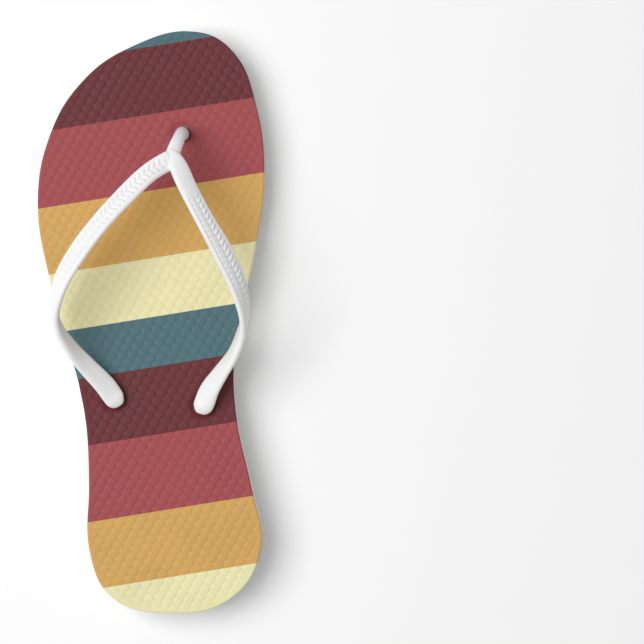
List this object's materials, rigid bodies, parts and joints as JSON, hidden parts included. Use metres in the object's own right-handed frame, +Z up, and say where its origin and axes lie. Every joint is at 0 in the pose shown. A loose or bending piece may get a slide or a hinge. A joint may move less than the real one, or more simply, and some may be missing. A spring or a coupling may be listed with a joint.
{
  "type": "flip flop",
  "caption": "Thong sandal for the left foot: layered foam rubber sole with a printed, textured footbed and a plugged Y-shaped rubber strap.",
  "frame": {"origin": "centre of the sole's underside, half way along and across its outline", "axes": "+X towards the big toe's side, +Y towards the toes, +Z up out of the footbed"},
  "size_m": [0.0972, 0.249, 0.0445],
  "materials": {
    "printed_footbed": "matt printed top sheet with tilted bands of teal, maroon, red, ochre and cream over a moulded grain",
    "white_foam": "matt closed-cell foam rubber, cut edge",
    "white_tread": "matt moulded rubber with a zigzag tread",
    "white_rubber": "smooth satin moulded rubber"
  },
  "bodies": {
    "sole": {"footbed": "printed_footbed", "midsole": "white_foam", "outsole": "white_tread"},
    "strap": {"strap": "white_rubber"}
  },
  "joints": [
    {"name": "strap_press", "type": "hinge", "parent": "sole", "child": "strap", "pos_m": [-0.0154, -0.0329, 0.0102], "axis": [-0.9966, 0.082, 0], "range_deg": [0, 3], "stiffness_Nm_per_rad": 6}
  ]
}
